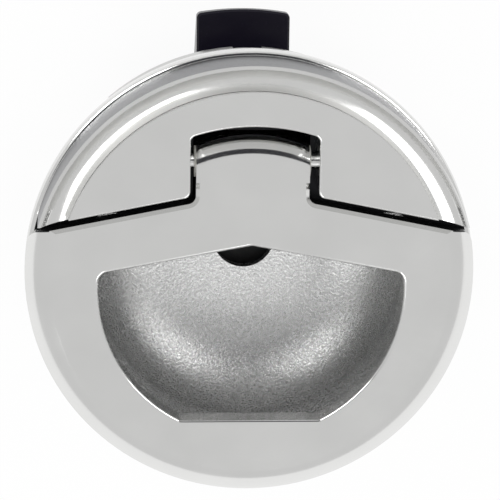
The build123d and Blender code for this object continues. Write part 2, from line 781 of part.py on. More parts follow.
# Countersunk screws through cover and housing
screw_tip_z = casting_rear_z + screw_depth - screw_end_gap
screw_head_depth = (screw_head_radius - screw_radius) / tan(radians(screw_head_angle) / 2)
screw_places = (
    ("upper_left", -screw_x, screw_y),
    ("upper_right", screw_x, screw_y),
    ("lower_left", -screw_x, -screw_y),
    ("lower_right", screw_x, -screw_y),
)
for place, place_x, place_y in screw_places:
    with BuildPart() as cover_screw:
        with BuildSketch(Plane(origin=(place_x, place_y, 0), x_dir=(1, 0, 0), z_dir=(0, -1, 0))):
            with BuildLine():
                Polyline(
                    (0, cover_rear_z),
                    (screw_head_radius, cover_rear_z),
                    (screw_radius, cover_rear_z + screw_head_depth),
                    (screw_radius, screw_tip_z - screw_tip_chamfer),
                    (screw_radius - screw_tip_chamfer, screw_tip_z),
                    (0, screw_tip_z),
                    (0, cover_rear_z),
                )
            make_face()
        revolve(axis=Axis((place_x, place_y, 0), (0, 0, 1)))
        with BuildSketch(Plane.XY.offset(cover_rear_z)):
            with Locations((place_x, place_y)):
                RegularPolygon(screw_socket_radius, 6)
        extrude(amount=screw_socket_depth, mode=Mode.SUBTRACT)
    cover_screw.part.label = f"cover_screw_{place}"
    export_step(cover_screw.part, f"parts/cover_screw_{place}.step")

# Rubber bumpers
for side, angle in (("left", -180 + bumper_angle), ("right", -bumper_angle)):
    with BuildPart() as bumper:
        with BuildSketch(Plane.XY.offset(flange_thickness - bumper_socket_depth)):
            with PolarLocations(bumper_circle_radius, 1, angle):
                Circle(bumper_radius)
        extrude(amount=plate_underside - bumper_gap - flange_thickness + bumper_socket_depth)
    bumper.part.label = f"handle_bumper_{side}"
    export_step(bumper.part, f"parts/handle_bumper_{side}.step")

# Panel gasket in the flange's groove
with BuildPart() as panel_gasket:
    with BuildSketch(Plane.XY.offset(gasket_fit)):
        Circle(groove_outer_radius - gasket_fit)
        Circle(groove_inner_radius + gasket_fit, mode=Mode.SUBTRACT)
    extrude(amount=groove_depth - 2 * gasket_fit)
panel_gasket.part.label = "panel_gasket"
export_step(panel_gasket.part, "parts/panel_gasket.step")

# Thrust washer, which the panel meets
with BuildPart() as thrust_washer:
    with BuildSketch(Plane.XY.offset(-clamp_depth)):
        Circle(washer_outer_radius)
        Circle(washer_inner_radius, mode=Mode.SUBTRACT)
    extrude(amount=-washer_thickness)
thrust_washer.part.label = "thrust_washer"
export_step(thrust_washer.part, "parts/thrust_washer.step")

# Ring nut with notches for a hook spanner
nut_top_z = -clamp_depth - washer_thickness
with BuildPart() as ring_nut:
    with BuildSketch(Plane.XY.offset(nut_top_z)):
        Circle(nut_outer_radius)
        Circle(barrel_radius + thread_fit, mode=Mode.SUBTRACT)
    extrude(amount=-nut_thickness)
    chamfer(ring_nut.edges().filter_by(GeomType.CIRCLE).group_by(SortBy.RADIUS)[-1], nut_chamfer)
    with BuildSketch(Plane.XY.offset(nut_top_z)):
        with PolarLocations(nut_outer_radius + nut_notch_offset, nut_notch_count):
            Circle(nut_notch_radius)
    extrude(amount=-nut_thickness, mode=Mode.SUBTRACT)
ring_nut.part.label = "ring_nut"
export_step(ring_nut.part, "parts/ring_nut.step")
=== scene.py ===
from math import atan2, cos, degrees, pi, radians, sin, tan

import bmesh
import bpy
import numpy as np
from mathutils import Matrix, Vector


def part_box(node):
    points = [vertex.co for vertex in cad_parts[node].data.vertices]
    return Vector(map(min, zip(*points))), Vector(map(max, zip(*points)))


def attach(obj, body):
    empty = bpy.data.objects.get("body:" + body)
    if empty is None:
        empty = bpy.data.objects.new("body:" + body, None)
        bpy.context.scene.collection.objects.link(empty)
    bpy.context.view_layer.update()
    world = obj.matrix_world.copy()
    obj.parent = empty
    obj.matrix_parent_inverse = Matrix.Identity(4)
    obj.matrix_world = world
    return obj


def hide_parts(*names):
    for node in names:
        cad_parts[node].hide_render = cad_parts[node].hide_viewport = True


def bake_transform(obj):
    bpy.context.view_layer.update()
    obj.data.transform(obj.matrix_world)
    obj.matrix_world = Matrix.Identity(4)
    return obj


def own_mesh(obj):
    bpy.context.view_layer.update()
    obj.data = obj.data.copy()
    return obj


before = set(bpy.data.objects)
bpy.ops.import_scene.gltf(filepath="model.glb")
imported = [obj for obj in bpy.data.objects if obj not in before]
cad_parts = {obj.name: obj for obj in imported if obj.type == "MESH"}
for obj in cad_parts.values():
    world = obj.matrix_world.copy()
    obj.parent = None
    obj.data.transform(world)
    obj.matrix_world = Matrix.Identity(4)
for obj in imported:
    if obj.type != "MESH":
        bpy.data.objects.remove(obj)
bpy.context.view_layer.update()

bl_info = {
    "name": "Flush Catch",
    "version": (1, 0, 0),
    "blender": (4, 5, 0),
    "location": "3D View > Sidebar > Flush Catch",
    "description": "Finishes, thread, springs and studio for the round flush catch",
    "category": "Object",
}

# Every length is in metres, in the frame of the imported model.
MM = 0.001

# Stage
FLOOR_HALF = 6.0
FLOOR_GAP = 0.01 * MM
FLOOR_WHITE = 0.92
LAMP_DISTANCE = 0.9
CARD_DISTANCE = 0.5
CARD_STEPS = 8

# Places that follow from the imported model
BEZEL_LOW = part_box("bezel_body")[0]
PIN_LOW, PIN_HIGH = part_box("hinge_pin")
COIL_LOW, COIL_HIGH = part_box("handle_spring")
SCREW_LOW, SCREW_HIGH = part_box("cover_screw_upper_right")
HINGE = (PIN_LOW + PIN_HIGH) / 2
SCREW_MIDDLE = (SCREW_LOW + SCREW_HIGH) / 2
FLOOR_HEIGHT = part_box("housing_cover")[0].z - FLOOR_GAP

# Sizes of casting and handle that their zones of finish follow
BARREL_RADIUS = 25.0 * MM
BARREL_RIM = 0.7 * MM
BARREL_TOP = -0.1 * MM
CUP_RADIUS = 23.4 * MM
FLANGE_FACE = 2.2 * MM
HOOD_WALL_RADIUS = 30.85 * MM
HOOD_LIP_HEIGHT = 10.65 * MM
HOOD_FLAT_RADIUS = 27.2 * MM
HOOD_FLAT_HEIGHT = 10.2 * MM
HOOD_STEP_FOOT = 9.1 * MM
SEAT_RADIUS = 30.9 * MM
# Painted shade on the seat under the shoulder's gap starts this far before the shoulder's line.
PAINTED_SHADE_REACH = 1.6 * MM
PLATE_CHAMFER_LOW = 5.6 * MM
SHOULDER_APEX = 12.45 * MM
SHOULDER_SLOPE = tan(radians(11.2))
TONGUE_GAP_END = 16.5 * MM
ZONE_EDGE = 0.15 * MM

# Thread: shares of its pitch and depth
TOOTH_FOOT = 0.94
TOOTH_CREST = 0.17
TOOTH_OVERLAP = 0.12
THREAD_END_SIZE = 0.02

# Springs: points in one turn, and the rise of a closed turn in wire radii
COIL_STEPS = 40
CLOSED_RISE = 2.1


# Sizes and colours that a user would change


class CatchThread(bpy.types.PropertyGroup):
    pitch: bpy.props.FloatProperty(
        name="Pitch", description="Rise of the barrel's thread in one turn", default=1.5 * MM,
        unit="LENGTH", precision=5)
    depth: bpy.props.FloatProperty(
        name="Depth", description="Height of the thread from root to crest", default=0.85 * MM,
        unit="LENGTH", precision=5)
    start: bpy.props.FloatProperty(
        name="Start", description="Plain neck between the flange and the thread", default=1.2 * MM,
        unit="LENGTH", precision=5)
    end: bpy.props.FloatProperty(
        name="End", description="Plain stretch at the barrel's rear end", default=0.75 * MM,
        unit="LENGTH", precision=5)
    steps: bpy.props.IntProperty(
        name="Steps", description="Steps of the thread in one turn", default=96, min=24, max=240)


class CatchSprings(bpy.types.PropertyGroup):
    bolt_wire: bpy.props.FloatProperty(
        name="Bolt spring wire", description="Radius of the bolt springs' wire", default=0.25 * MM,
        unit="LENGTH", precision=5)
    bolt_turns: bpy.props.FloatProperty(
        name="Bolt spring turns", description="Open turns of each bolt spring", default=9.0)
    closed_turns: bpy.props.FloatProperty(
        name="Closed turns", description="Turns that lie together at each end", default=1.25)
    handle_wire: bpy.props.FloatProperty(
        name="Handle spring wire", description="Radius of the handle spring's wire",
        default=0.3 * MM, unit="LENGTH", precision=5)
    handle_turns: bpy.props.IntProperty(
        name="Handle spring turns", description="Turns of the handle spring", default=2)


class CatchFinishes(bpy.types.PropertyGroup):
    steel: bpy.props.FloatVectorProperty(
        name="Polished steel", description="Colour of the polished stainless steel",
        subtype="COLOR", size=3, default=(0.79, 0.79, 0.78), min=0, max=1)
    cast: bpy.props.FloatVectorProperty(
        name="Cast steel", description="Colour of the cup's rough cast face", subtype="COLOR",
        size=3, default=(0.64, 0.64, 0.637), min=0, max=1)
    # The hood wall's satin gloss and speckle are its finish. Its dark colour paints the dark
    # reflection that the wall shows from below. The seat and the handle's walls in the gap under
    # the hood take a small share of it as painted shade.
    wall: bpy.props.FloatVectorProperty(
        name="Hood wall", description="Colour of the hood's satin outer wall", subtype="COLOR",
        size=3, default=(0.16, 0.163, 0.175), min=0, max=1)
    satin: bpy.props.FloatVectorProperty(
        name="Satin steel", description="Colour of the turned and pressed steel parts",
        subtype="COLOR", size=3, default=(0.62, 0.62, 0.61), min=0, max=1)
    spring: bpy.props.FloatVectorProperty(
        name="Spring steel", description="Colour of the drawn spring wire", subtype="COLOR",
        size=3, default=(0.5, 0.5, 0.49), min=0, max=1)
    acetal: bpy.props.FloatVectorProperty(
        name="Black acetal", description="Colour of the bolt", subtype="COLOR",
        size=3, default=(0.006, 0.005, 0.0105), min=0, max=1)
    nylon: bpy.props.FloatVectorProperty(
        name="Black nylon", description="Colour of the housing and its cover", subtype="COLOR",
        size=3, default=(0.02, 0.02, 0.021), min=0, max=1)
    bush: bpy.props.FloatVectorProperty(
        name="Bush", description="Colour of the hinge bushes", subtype="COLOR",
        size=3, default=(0.78, 0.77, 0.72), min=0, max=1)
    rubber: bpy.props.FloatVectorProperty(
        name="Rubber", description="Colour of the gasket and the bumpers", subtype="COLOR",
        size=3, default=(0.022, 0.022, 0.023), min=0, max=1)


class CatchStage(bpy.types.PropertyGroup):
    distance: bpy.props.FloatProperty(
        name="Distance", description="Distance of the camera from the flange", default=0.4,
        unit="LENGTH")
    tilt: bpy.props.FloatProperty(
        name="Tilt", description="Lean of the camera towards the bolt", default=radians(13.387),
        subtype="ANGLE")
    turn: bpy.props.FloatProperty(
        name="Turn", description="Lean of the camera to the side", default=radians(-3.902),
        subtype="ANGLE")
    roll: bpy.props.FloatProperty(
        name="Roll", description="Turn of the picture about its middle", default=radians(0.84),
        subtype="ANGLE")
    aim: bpy.props.FloatVectorProperty(
        name="Aim", description="Point of the flange plane in the picture's middle", size=2,
        default=(0.1206 * MM, 2.786 * MM), unit="LENGTH", precision=5)
    lens: bpy.props.FloatProperty(
        name="Lens", description="Focal length in millimetres for a 36 mm frame", default=203.19)
    tent: bpy.props.FloatProperty(
        name="Tent", description="Brightness of the white tent round the catch", default=0.72)
    floor: bpy.props.FloatVectorProperty(
        name="Floor", description="Colour of the floor", subtype="COLOR", size=3,
        default=(0.9, 0.9, 0.9), min=0, max=1)


PROPERTY_GROUPS = {
    "catch_thread": CatchThread,
    "catch_springs": CatchSprings,
    "catch_finishes": CatchFinishes,
    "catch_stage": CatchStage,
}


# Effects that several finishes share


class Tree:
    """A node tree with short ways to add and join nodes."""

    def __init__(self, tree):
        self.tree = tree

    def node(self, kind, settings=None, **inputs):
        """Adds a node. An input is named with _ for a space, or by i and its number."""
        made = self.tree.nodes.new(kind)
        for name, value in (settings or {}).items():
            setattr(made, name, value)
        for name, value in inputs.items():
            key = int(name[1:]) if name[1:].isdigit() else name.replace("_", " ")
            self.feed(made.inputs[key], value)
        return made

    def feed(self, socket, value):
        """Links a socket to another one, or sets its value."""
        if isinstance(value, bpy.types.NodeSocket):
            self.link(value, socket)
        else:
            socket.default_value = value

    def link(self, source, target):
        self.tree.links.new(source, target)

    def math(self, operation, first, second=0.0, clamp=False):
        settings = {"operation": operation, "use_clamp": clamp}
        made = self.node("ShaderNodeMath", settings, i0=first, i1=second)
        return made.outputs[0]

    def both(self, first, second):
        """Share that lies in both zones."""
        return self.math("MULTIPLY", first, second)

    def out_of(self, zone):
        """Share that lies outside a zone."""
        return self.math("SUBTRACT", 1.0, zone)

    def ramp(self, value, low, high, to_low=0.0, to_high=1.0):
        """Smooth step of value from low to high."""
        made = self.node(
            "ShaderNodeMapRange", {"interpolation_type": "SMOOTHSTEP"},
            Value=value, From_Min=low, From_Max=high, To_Min=to_low, To_Max=to_high)
        return made.outputs["Result"]

    def mix(self, factor, first, second):
        """Colour from first to second."""
        made = self.node("ShaderNodeMix", {"data_type": "RGBA"}, Factor=factor)
        self.feed(made.inputs[6], first)
        self.feed(made.inputs[7], second)
        return made.outputs[2]

    def blend(self, factor, first, second):
        """Value from first to second."""
        made = self.node("ShaderNodeMix", {"data_type": "FLOAT"}, Factor=factor, A=first, B=second)
        return made.outputs[0]


def effect_group(name, inputs, outputs):
    """A shader node group with named inputs and outputs, given as name: (socket kind, default)."""
    tree = bpy.data.node_groups.new(name, "ShaderNodeTree")
    for label, (kind, default) in inputs.items():
        socket = tree.interface.new_socket(name=label, in_out="INPUT", socket_type=kind)
        if default is not None:
            socket.default_value = default
    for label, kind in outputs.items():
        tree.interface.new_socket(name=label, in_out="OUTPUT", socket_type=kind)
    return Tree(tree), tree.nodes.new("NodeGroupInput"), tree.nodes.new("NodeGroupOutput")


def make_grain_group():
    """Fine grain with a coarser unevenness under it, as on cast, moulded and rubber faces."""
    group, into, out = effect_group(
        "Grain",
        {"Vector": ("NodeSocketVector", None), "Grain Size": ("NodeSocketFloat", 0.3 * MM),
         "Patch Size": ("NodeSocketFloat", 4 * MM)},
        {"Grain": "NodeSocketFloat", "Patch": "NodeSocketFloat"})
    fine = group.node(
        "ShaderNodeTexNoise", None, Vector=into.outputs["Vector"],
        Scale=group.math("DIVIDE", 1.0, into.outputs["Grain Size"]), Detail=4.0, Roughness=0.6)
    broad = group.node(
        "ShaderNodeTexNoise", None, Vector=into.outputs["Vector"],
        Scale=group.math("DIVIDE", 1.0, into.outputs["Patch Size"]), Detail=2.0, Roughness=0.5)
    group.link(fine.outputs[0], out.inputs["Grain"])
    group.link(broad.outputs[0], out.inputs["Patch"])
    return group.tree


def make_scratch_group():
    """Hair-fine polishing lines in two directions."""
    group, into, out = effect_group(
        "Polishing Lines",
        {"Vector": ("NodeSocketVector", None), "Spacing": ("NodeSocketFloat", 0.12 * MM),
         "Length": ("NodeSocketFloat", 9 * MM)},
        {"Lines": "NodeSocketFloat"})
    across = group.math("DIVIDE", 1.0, into.outputs["Spacing"])
    along = group.math("DIVIDE", 1.0, into.outputs["Length"])
    found = []
    for angle in (radians(12), radians(-38)):
        turned = group.node(
            "ShaderNodeVectorRotate", {"rotation_type": "Z_AXIS"}, Vector=into.outputs["Vector"],
            Angle=angle)
        stretch = group.node("ShaderNodeCombineXYZ", None, X=along, Y=across, Z=across)
        scaled = group.node(
            "ShaderNodeVectorMath", {"operation": "MULTIPLY"},
            i0=turned.outputs[0], i1=stretch.outputs[0])
        noise = group.node(
            "ShaderNodeTexNoise", None,
            Vector=scaled.outputs[0], Scale=1.0, Detail=1.0, Roughness=0.4)
        found.append(group.ramp(noise.outputs[0], 0.62, 0.78))
    group.link(group.math("MAXIMUM", found[0], found[1]), out.inputs["Lines"])
    return group.tree


def make_turning_group():
    """Rings left by turning about the Z axis."""
    group, into, out = effect_group(
        "Turning Rings",
        {"Vector": ("NodeSocketVector", None), "Spacing": ("NodeSocketFloat", 0.15 * MM)},
        {"Rings": "NodeSocketFloat", "Radius": "NodeSocketFloat"})
    place = group.node("ShaderNodeSeparateXYZ", None, Vector=into.outputs["Vector"])
    flat = group.node("ShaderNodeCombineXYZ", None, X=place.outputs["X"], Y=place.outputs["Y"])
    length = group.node("ShaderNodeVectorMath", {"operation": "LENGTH"}, i0=flat.outputs[0])
    radius = length.outputs["Value"]
    drawn = group.math("ADD", radius, place.outputs["Z"])
    noise = group.node(
        "ShaderNodeTexNoise", {"noise_dimensions": "1D"},
        W=group.math("DIVIDE", drawn, into.outputs["Spacing"]),
        Scale=1.0, Detail=2.0, Roughness=0.6)
    group.link(noise.outputs[0], out.inputs["Rings"])
    group.link(radius, out.inputs["Radius"])
    return group.tree


# Finishes


def finish_tree(name):
    """Makes a material and gives its empty tree, its Principled BSDF and its Object coordinates."""
    material = bpy.data.materials.new(name)
    material.use_nodes = True
    material.node_tree.nodes.clear()
    tree = Tree(material.node_tree)
    shader = tree.node("ShaderNodeBsdfPrincipled")
    output = tree.node("ShaderNodeOutputMaterial")
    tree.link(shader.outputs[0], output.inputs["Surface"])
    place = tree.node("ShaderNodeTexCoord").outputs["Object"]
    return tree, shader, place


def use_group(tree, group_name, **inputs):
    return tree.node("ShaderNodeGroup", {"node_tree": bpy.data.node_groups[group_name]}, **inputs)


def opaque(colour):
    return (*colour, 1.0)


def dimmed(colour, share):
    """A share of the colour, opaque."""
    return opaque(tuple(share * part for part in colour))


def set_bump(tree, shader, heights):
    """Adds up bumps, given as (height socket, depth in metres, strength), for the shader."""
    normal = None
    for height, depth, strength in heights:
        bump = tree.node("ShaderNodeBump", None, Height=height, Distance=depth, Strength=strength)
        if normal is not None:
            tree.link(normal, bump.inputs["Normal"])
        normal = bump.outputs[0]
    tree.link(normal, shader.inputs["Normal"])


def set_steel(tree, shader, colour, rough):
    tree.link(colour, shader.inputs["Base Color"])
    shader.inputs["Metallic"].default_value = 1.0
    tree.link(rough, shader.inputs["Roughness"])


def polish(tree, patches, lines, steel):
    """Colour and roughness of the mirror polish, hazy in patches and along its lines."""
    colour = tree.mix(patches, dimmed(steel, 0.93), opaque(steel))
    rough = tree.math("ADD", tree.blend(patches, 0.09, 0.17), tree.math("MULTIPLY", lines, 0.05))
    return colour, rough


def past_shoulder(tree, axes):
    """How far a point lies past the shoulder's sloping line, towards the hood."""
    slope = tree.math("MULTIPLY", tree.math("ABSOLUTE", axes.outputs["X"]), SHOULDER_SLOPE)
    return tree.math("SUBTRACT", tree.math("ADD", axes.outputs["Y"], slope), SHOULDER_APEX)


def casting_zones(tree, axes, radius):
    """The casting's zones: rough cast, hood wall, the seat under the shoulder's gap that gets
    painted shade, step wall and turned barrel.
    """
    height = axes.outputs["Z"]
    inside = tree.ramp(radius, CUP_RADIUS, CUP_RADIUS + ZONE_EDGE, 1.0, 0.0)
    below_face = tree.ramp(height, FLANGE_FACE + ZONE_EDGE, FLANGE_FACE + 2 * ZONE_EDGE, 1.0, 0.0)

    above_face = tree.ramp(height, FLANGE_FACE, FLANGE_FACE + ZONE_EDGE)
    below_lip = tree.ramp(height, HOOD_LIP_HEIGHT, HOOD_LIP_HEIGHT + ZONE_EDGE, 1.0, 0.0)
    outside = tree.ramp(radius, HOOD_WALL_RADIUS, HOOD_WALL_RADIUS + ZONE_EDGE / 3)
    wall = tree.both(outside, tree.both(above_face, below_lip))

    above_back = tree.ramp(height, 0.1 * MM, 0.3 * MM)
    within = tree.ramp(radius, SEAT_RADIUS, SEAT_RADIUS + ZONE_EDGE, 1.0, 0.0)
    under = tree.both(tree.both(above_back, below_face), within)
    past = past_shoulder(tree, axes)
    # Painted shade: the seat under the shoulder's gap, which later gets a near-black colour.
    painted_seat_shade = tree.both(under, tree.ramp(past, -PAINTED_SHADE_REACH, 0.4 * MM - PAINTED_SHADE_REACH))
    cast = tree.math("MAXIMUM", tree.both(inside, below_face), under)
    cast = tree.both(cast, tree.out_of(painted_seat_shade))

    on_flat = tree.ramp(height, HOOD_FLAT_HEIGHT - 0.02 * MM, HOOD_FLAT_HEIGHT - 0.01 * MM)
    off_step = tree.math("ABSOLUTE", tree.math("SUBTRACT", radius, HOOD_FLAT_RADIUS))
    at_step = tree.ramp(off_step, 0.03 * MM, 0.08 * MM, 1.0, 0.0)
    above_foot = tree.ramp(height, HOOD_STEP_FOOT, HOOD_STEP_FOOT + 0.1 * MM)
    step = tree.both(tree.both(at_step, above_foot), tree.out_of(on_flat))

    behind = tree.ramp(height, BARREL_TOP - 0.1 * MM, BARREL_TOP, 1.0, 0.0)
    barrel = tree.both(behind, tree.out_of(inside))
    return cast, wall, painted_seat_shade, step, barrel


def bezel_steel(finishes):
    """The casting's finish: polished face, hood wall with a satin gloss and a dark colour that
    paints its dark reflection, painted shade on the seat, rough cast cup and turned barrel.
    """
    tree, shader, place = finish_tree("bezel_finish")
    axes = tree.node("ShaderNodeSeparateXYZ", None, Vector=place)
    rings = use_group(tree, "Turning Rings", Vector=place)
    cast, wall, painted_seat_shade, step, barrel = casting_zones(tree, axes, rings.outputs["Radius"])
    fine = use_group(tree, "Grain", Vector=place, Grain_Size=0.38 * MM, Patch_Size=5 * MM)
    slow = use_group(tree, "Grain", Vector=place, Grain_Size=0.16 * MM, Patch_Size=7 * MM)
    lines = use_group(tree, "Polishing Lines", Vector=place)
    speck = tree.ramp(fine.outputs["Grain"], 0.36, 0.66)
    cast_colour = tree.mix(speck, dimmed(finishes.cast, 0.88), opaque(finishes.cast))
    wall_colour_with_painted_reflection = tree.mix(speck, dimmed(finishes.wall, 0.7), opaque(finishes.wall))
    turned = tree.mix(rings.outputs["Rings"], dimmed(finishes.satin, 0.8), opaque(finishes.satin))

    colour, rough = polish(tree, slow.outputs["Patch"], lines.outputs[0], finishes.steel)
    # Painted reflection: the hood wall's dark colour stands in for the dark reflection that it
    # shows from below. Its speckle is grain.
    colour = tree.mix(wall, colour, wall_colour_with_painted_reflection)
    # Painted shade: the seat under the shoulder's gap gets 12 percent of the hood wall's colour.
    colour = tree.mix(painted_seat_shade, colour, dimmed(finishes.wall, 0.12))
    colour = tree.mix(barrel, colour, turned)
    colour = tree.mix(cast, colour, cast_colour)
    rough = tree.blend(wall, rough, 0.3)
    rough = tree.blend(tree.math("MAXIMUM", barrel, painted_seat_shade), rough, 0.35)
    rough = tree.blend(step, rough, 0.6)
    rough = tree.blend(cast, rough, tree.blend(speck, 0.3, 0.2))
    set_steel(tree, shader, colour, rough)
    set_bump(tree, shader, [
        (slow.outputs["Patch"], 0.02 * MM, 0.5),
        (tree.both(fine.outputs["Grain"], cast), 0.15 * MM, 0.8),
        (tree.both(slow.outputs["Grain"], wall), 0.03 * MM, 0.4),
        (tree.both(rings.outputs["Rings"], barrel), 0.01 * MM, 0.4)])


def handle_steel(finishes):
    """The pull handle's finish: polished, with painted shade on its walls in the gap under the
    hood.
    """
    tree, shader, place = finish_tree("handle_finish")
    axes = tree.node("ShaderNodeSeparateXYZ", None, Vector=place)
    grain = use_group(tree, "Grain", Vector=place, Grain_Size=0.3 * MM, Patch_Size=7 * MM)
    lines = use_group(tree, "Polishing Lines", Vector=place)
    low = tree.ramp(
        axes.outputs["Z"], PLATE_CHAMFER_LOW, PLATE_CHAMFER_LOW + 0.1 * MM, 1.0, 0.0)
    past = tree.ramp(past_shoulder(tree, axes), -0.2 * MM, -0.1 * MM)
    before_end = tree.ramp(axes.outputs["Y"], TONGUE_GAP_END - 1 * MM, TONGUE_GAP_END, 1.0, 0.0)
    wall = tree.both(low, tree.both(past, before_end))
    colour, rough = polish(tree, grain.outputs["Patch"], lines.outputs[0], finishes.steel)
    # Painted shade: the walls in the gap under the hood get 12 percent of the hood wall's colour.
    colour = tree.mix(wall, colour, dimmed(finishes.wall, 0.12))
    set_steel(tree, shader, colour, tree.blend(wall, rough, 0.45))
    set_bump(tree, shader, [
        (grain.outputs["Patch"], 0.02 * MM, 0.5),
        (lines.outputs[0], 0.001 * MM, 0.3),
        (tree.both(grain.outputs["Grain"], wall), 0.03 * MM, 0.5)])


def turned_steel(finishes):
    """Satin steel turned about the barrel's axis, for nut, washer and thread."""
    tree, shader, place = finish_tree("turned_finish")
    rings = use_group(tree, "Turning Rings", Vector=place).outputs["Rings"]
    grain = use_group(tree, "Grain", Vector=place, Grain_Size=0.2 * MM, Patch_Size=3 * MM)
    colour = tree.mix(rings, dimmed(finishes.satin, 0.82), opaque(finishes.satin))
    set_steel(tree, shader, colour, tree.blend(grain.outputs["Patch"], 0.24, 0.38))
    set_bump(tree, shader, [(rings, 0.012 * MM, 0.4), (grain.outputs["Grain"], 0.01 * MM, 0.2)])


def pressed_steel(finishes):
    """Satin sheet steel with a tumbled face, for the lever."""
    tree, shader, place = finish_tree("pressed_finish")
    grain = use_group(tree, "Grain", Vector=place, Grain_Size=0.25 * MM, Patch_Size=2.5 * MM)
    colour = tree.mix(grain.outputs["Patch"], dimmed(finishes.satin, 0.8), opaque(finishes.satin))
    set_steel(tree, shader, colour, tree.blend(grain.outputs["Grain"], 0.28, 0.42))
    set_bump(tree, shader, [(grain.outputs["Grain"], 0.02 * MM, 0.4)])


def ground_steel(finishes):
    """Steel ground round the X axis, for the hinge pin."""
    tree, shader, place = finish_tree("ground_finish")
    axes = tree.node("ShaderNodeSeparateXYZ", None, Vector=place)
    rings = tree.node(
        "ShaderNodeTexNoise", {"noise_dimensions": "1D"},
        W=tree.math("DIVIDE", axes.outputs["X"], 0.08 * MM), Scale=1.0, Detail=2.0).outputs[0]
    colour = tree.mix(rings, dimmed(finishes.steel, 0.88), opaque(finishes.steel))
    set_steel(tree, shader, colour, tree.blend(rings, 0.16, 0.26))
    set_bump(tree, shader, [(rings, 0.004 * MM, 0.4)])


def spring_steel(finishes):
    """Drawn wire, a little darker in patches."""
    tree, shader, place = finish_tree("wire_finish")
    grain = use_group(tree, "Grain", Vector=place, Grain_Size=0.12 * MM, Patch_Size=1.5 * MM)
    colour = tree.mix(grain.outputs["Patch"], dimmed(finishes.spring, 0.7), opaque(finishes.spring))
    set_steel(tree, shader, colour, tree.blend(grain.outputs["Grain"], 0.22, 0.36))
    set_bump(tree, shader, [(grain.outputs["Grain"], 0.006 * MM, 0.4)])


def screw_steel(finishes):
    """Bright screw heads with rings about each screw's own axis."""
    tree, shader, place = finish_tree("screw_finish")
    axes = tree.node("ShaderNodeSeparateXYZ", None, Vector=place)
    side = tree.math("SUBTRACT", tree.math("ABSOLUTE", axes.outputs["X"]), SCREW_MIDDLE.x)
    up = tree.math("SUBTRACT", tree.math("ABSOLUTE", axes.outputs["Y"]), SCREW_MIDDLE.y)
    own = tree.node("ShaderNodeCombineXYZ", None, X=side, Y=up, Z=axes.outputs["Z"])
    turning = use_group(tree, "Turning Rings", Vector=own.outputs[0], Spacing=0.1 * MM)
    rings = turning.outputs["Rings"]
    colour = tree.mix(rings, dimmed(finishes.steel, 0.85), opaque(finishes.steel))
    set_steel(tree, shader, colour, tree.blend(rings, 0.18, 0.3))
    set_bump(tree, shader, [(rings, 0.008 * MM, 0.4)])


def plastic(name, colour, grain_size, roughness, depth, strength, lift=1.6, gloss=0.5):
    """Moulded plastic or rubber: grain in the face, patches in the gloss, lighter specks."""
    tree, shader, place = finish_tree(name)
    grain = use_group(
        tree, "Grain", Vector=place, Grain_Size=grain_size, Patch_Size=14 * grain_size)
    lighter = tuple(min(1.0, lift * part) for part in colour)
    speck = tree.ramp(grain.outputs["Grain"], 0.6, 0.78)
    tree.link(tree.mix(speck, opaque(colour), opaque(lighter)), shader.inputs["Base Color"])
    tree.link(tree.blend(grain.outputs["Patch"], *roughness), shader.inputs["Roughness"])
    shader.inputs["Specular IOR Level"].default_value = gloss
    set_bump(tree, shader, [(grain.outputs["Grain"], depth, strength)])


def make_finishes(finishes):
    """Every finish of the catch."""
    make_grain_group()
    make_scratch_group()
    make_turning_group()
    handle_steel(finishes)
    bezel_steel(finishes)
    turned_steel(finishes)
    pressed_steel(finishes)
    ground_steel(finishes)
    spring_steel(finishes)
    screw_steel(finishes)
    plastic(
        "bolt_finish", finishes.acetal, 0.35 * MM, (0.2, 0.3), 0.01 * MM, 0.3, lift=3.0, gloss=0.2)
    plastic("housing_finish", finishes.nylon, 0.22 * MM, (0.42, 0.56), 0.03 * MM, 0.5)
    plastic("bush_finish", finishes.bush, 0.3 * MM, (0.3, 0.4), 0.006 * MM, 0.3, lift=1.06)
    plastic("rubber_finish", finishes.rubber, 0.18 * MM, (0.62, 0.8), 0.02 * MM, 0.5)


def dress(node, material):
    """Gives a CAD node a finish."""
    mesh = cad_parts[node].data
    mesh.materials.clear()
    mesh.materials.append(bpy.data.materials[material])


# Pieces that follow a path


def new_geometry_tree(name, inputs):
    """A geometry node tree with a geometry input, named size inputs and a geometry output."""
    tree = bpy.data.node_groups.new(name, "GeometryNodeTree")
    tree.interface.new_socket(name="Geometry", in_out="INPUT", socket_type="NodeSocketGeometry")
    for label, kind in inputs.items():
        tree.interface.new_socket(name=label, in_out="INPUT", socket_type=kind)
    tree.interface.new_socket(name="Geometry", in_out="OUTPUT", socket_type="NodeSocketGeometry")
    return Tree(tree), tree.nodes.new("NodeGroupInput"), tree.nodes.new("NodeGroupOutput")


def end_geometry_tree(group, into, out, geometry):
    """Realizes the instances and sets the finish."""
    plain = group.node("GeometryNodeRealizeInstances", None, i0=geometry)
    coated = group.node(
        "GeometryNodeSetMaterial", None,
        Geometry=plain.outputs[0], Material=into.outputs["Material"])
    group.link(coated.outputs[0], out.inputs[0])
    return group.tree


def make_wire_tree():
    """Round wire along a path."""
    group, into, out = new_geometry_tree("Wire Along Path", {
        "Wire Radius": "NodeSocketFloat", "Sides": "NodeSocketInt",
        "Material": "NodeSocketMaterial"})
    profile = group.node(
        "GeometryNodeCurvePrimitiveCircle", None, Resolution=into.outputs["Sides"],
        Radius=into.outputs["Wire Radius"])
    wire = group.node("GeometryNodeCurveToMesh", None, Curve=into.outputs["Geometry"],
                      Profile_Curve=profile.outputs[0], Fill_Caps=True)
    return end_geometry_tree(group, into, out, wire.outputs[0])


